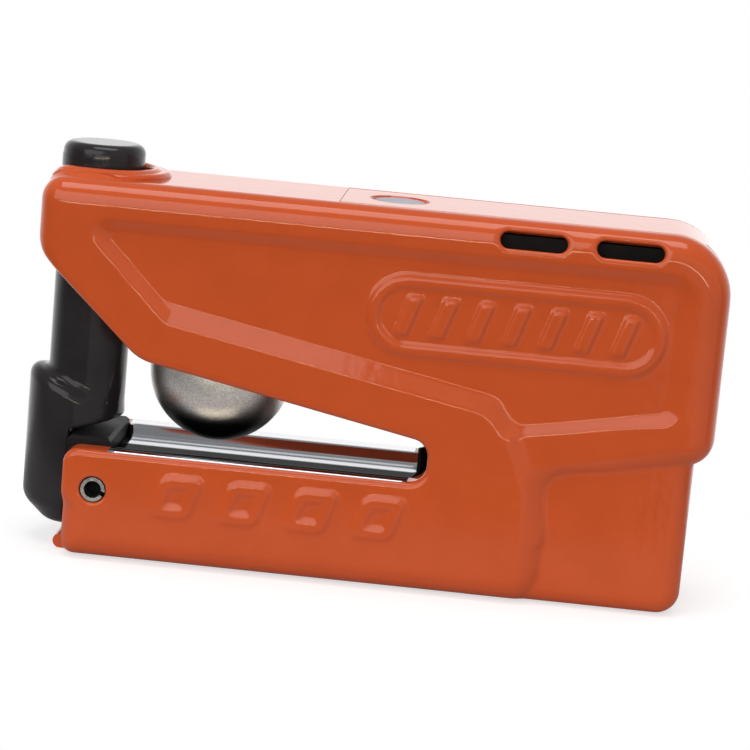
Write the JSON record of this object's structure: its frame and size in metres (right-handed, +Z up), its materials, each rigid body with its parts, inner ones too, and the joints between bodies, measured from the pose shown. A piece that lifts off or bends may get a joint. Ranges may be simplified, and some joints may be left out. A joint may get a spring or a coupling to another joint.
{
  "type": "disc brake lock",
  "caption": "Orange steel alarm disc lock with a wedge-shaped disc slot, lifting black bolt, nickel sensor dome and key cylinder in a lower block.",
  "frame": {"origin": "under the middle of the bounding box, on the flat bottom that the lock stands on", "axes": "+X from the bolt towards the key end, -Y towards the badge side, +Z up along the bolt"},
  "size_m": [0.1194, 0.03, 0.0702],
  "materials": {
    "orange_coat": "gloss powder coat",
    "black_bolt": "gloss black",
    "dome_nickel": "grainy nickel plate",
    "liner_steel": "polished",
    "pin_steel": "satin",
    "black_plastic": "matte",
    "lamp_lens": "smoked",
    "lamp_led": "clear",
    "black_rubber": "matte",
    "tool_steel": "machined",
    "lock_brass": "machined",
    "spring_steel": "bright",
    "board_green": "solder mask",
    "chip_black": "matte",
    "cell_wrap": "shrink wrap",
    "cover_steel": "polished"
  },
  "bodies": {
    "lock_body": {"front_shell": "orange_coat", "rear_shell": "orange_coat", "nose_band": "orange_coat", "frame_band": "orange_coat", "top_lid": "orange_coat", "jaw_plate": "orange_coat", "bolt_guide": "tool_steel", "bolt_wiper_ring": "black_rubber", "lower_guide_insert": "black_plastic", "roll_pin": "pin_steel", "slot_liner": "liner_steel", "arm_core": "tool_steel", "cylinder_housing": "tool_steel", "cylinder_retaining_pin": "pin_steel", "cover_rivet": "pin_steel", "dome_guide": "black_plastic", "dome_spring": "spring_steel", "micro_switch": "chip_black", "battery_cells": "cell_wrap", "battery_holder": "black_plastic", "battery_contacts": "spring_steel", "board_bracket": "black_plastic", "board_screws": "pin_steel", "circuit_board": "board_green", "board_components": "chip_black", "status_led": "lamp_led", "status_lens": "lamp_lens", "siren_housing": "black_plastic", "piezo_disc": "lock_brass", "siren_membrane": "black_rubber", "tie_pins": "tool_steel"},
    "bolt_body": {"bolt": "black_bolt"},
    "latch_body": {"latch_bar": "tool_steel"},
    "plug_body": {"cylinder_plug": "lock_brass", "tumbler_discs": "lock_brass", "cam_barrel": "tool_steel"},
    "dome_body": {"sensor_dome": "dome_nickel"},
    "cover_body": {"keyhole_cover": "cover_steel"}
  },
  "joints": [
    {"name": "bolt_lift", "type": "slide", "parent": "lock_body", "child": "bolt_body", "axis": [0, 0, 1], "range_m": [0, 0.017]},
    {"name": "plug_turn", "type": "hinge", "parent": "lock_body", "child": "plug_body", "pos_m": [0.03, 0, 0.0108], "axis": [1, 0, 0], "range_deg": [0, 90]},
    {"name": "latch_slide", "type": "slide", "parent": "lock_body", "child": "latch_body", "axis": [-1, 0, 0], "range_m": [0, 0.004]},
    {"name": "dome_press", "type": "slide", "parent": "lock_body", "child": "dome_body", "axis": [0, 0, 1], "range_m": [0, 0.003], "stiffness_N_per_m": 1200, "springref_m": -0.004, "deforming": ["dome_spring"]},
    {"name": "keyhole_cover_swivel", "type": "hinge", "parent": "lock_body", "child": "cover_body", "pos_m": [0.0556, 0, 0.018], "axis": [1, 0, 0], "range_deg": [0, 52]}
  ],
  "couplings": [
    {"joint": "plug_turn", "follows": "latch_slide", "rad_per_m": 392.69}
  ]
}
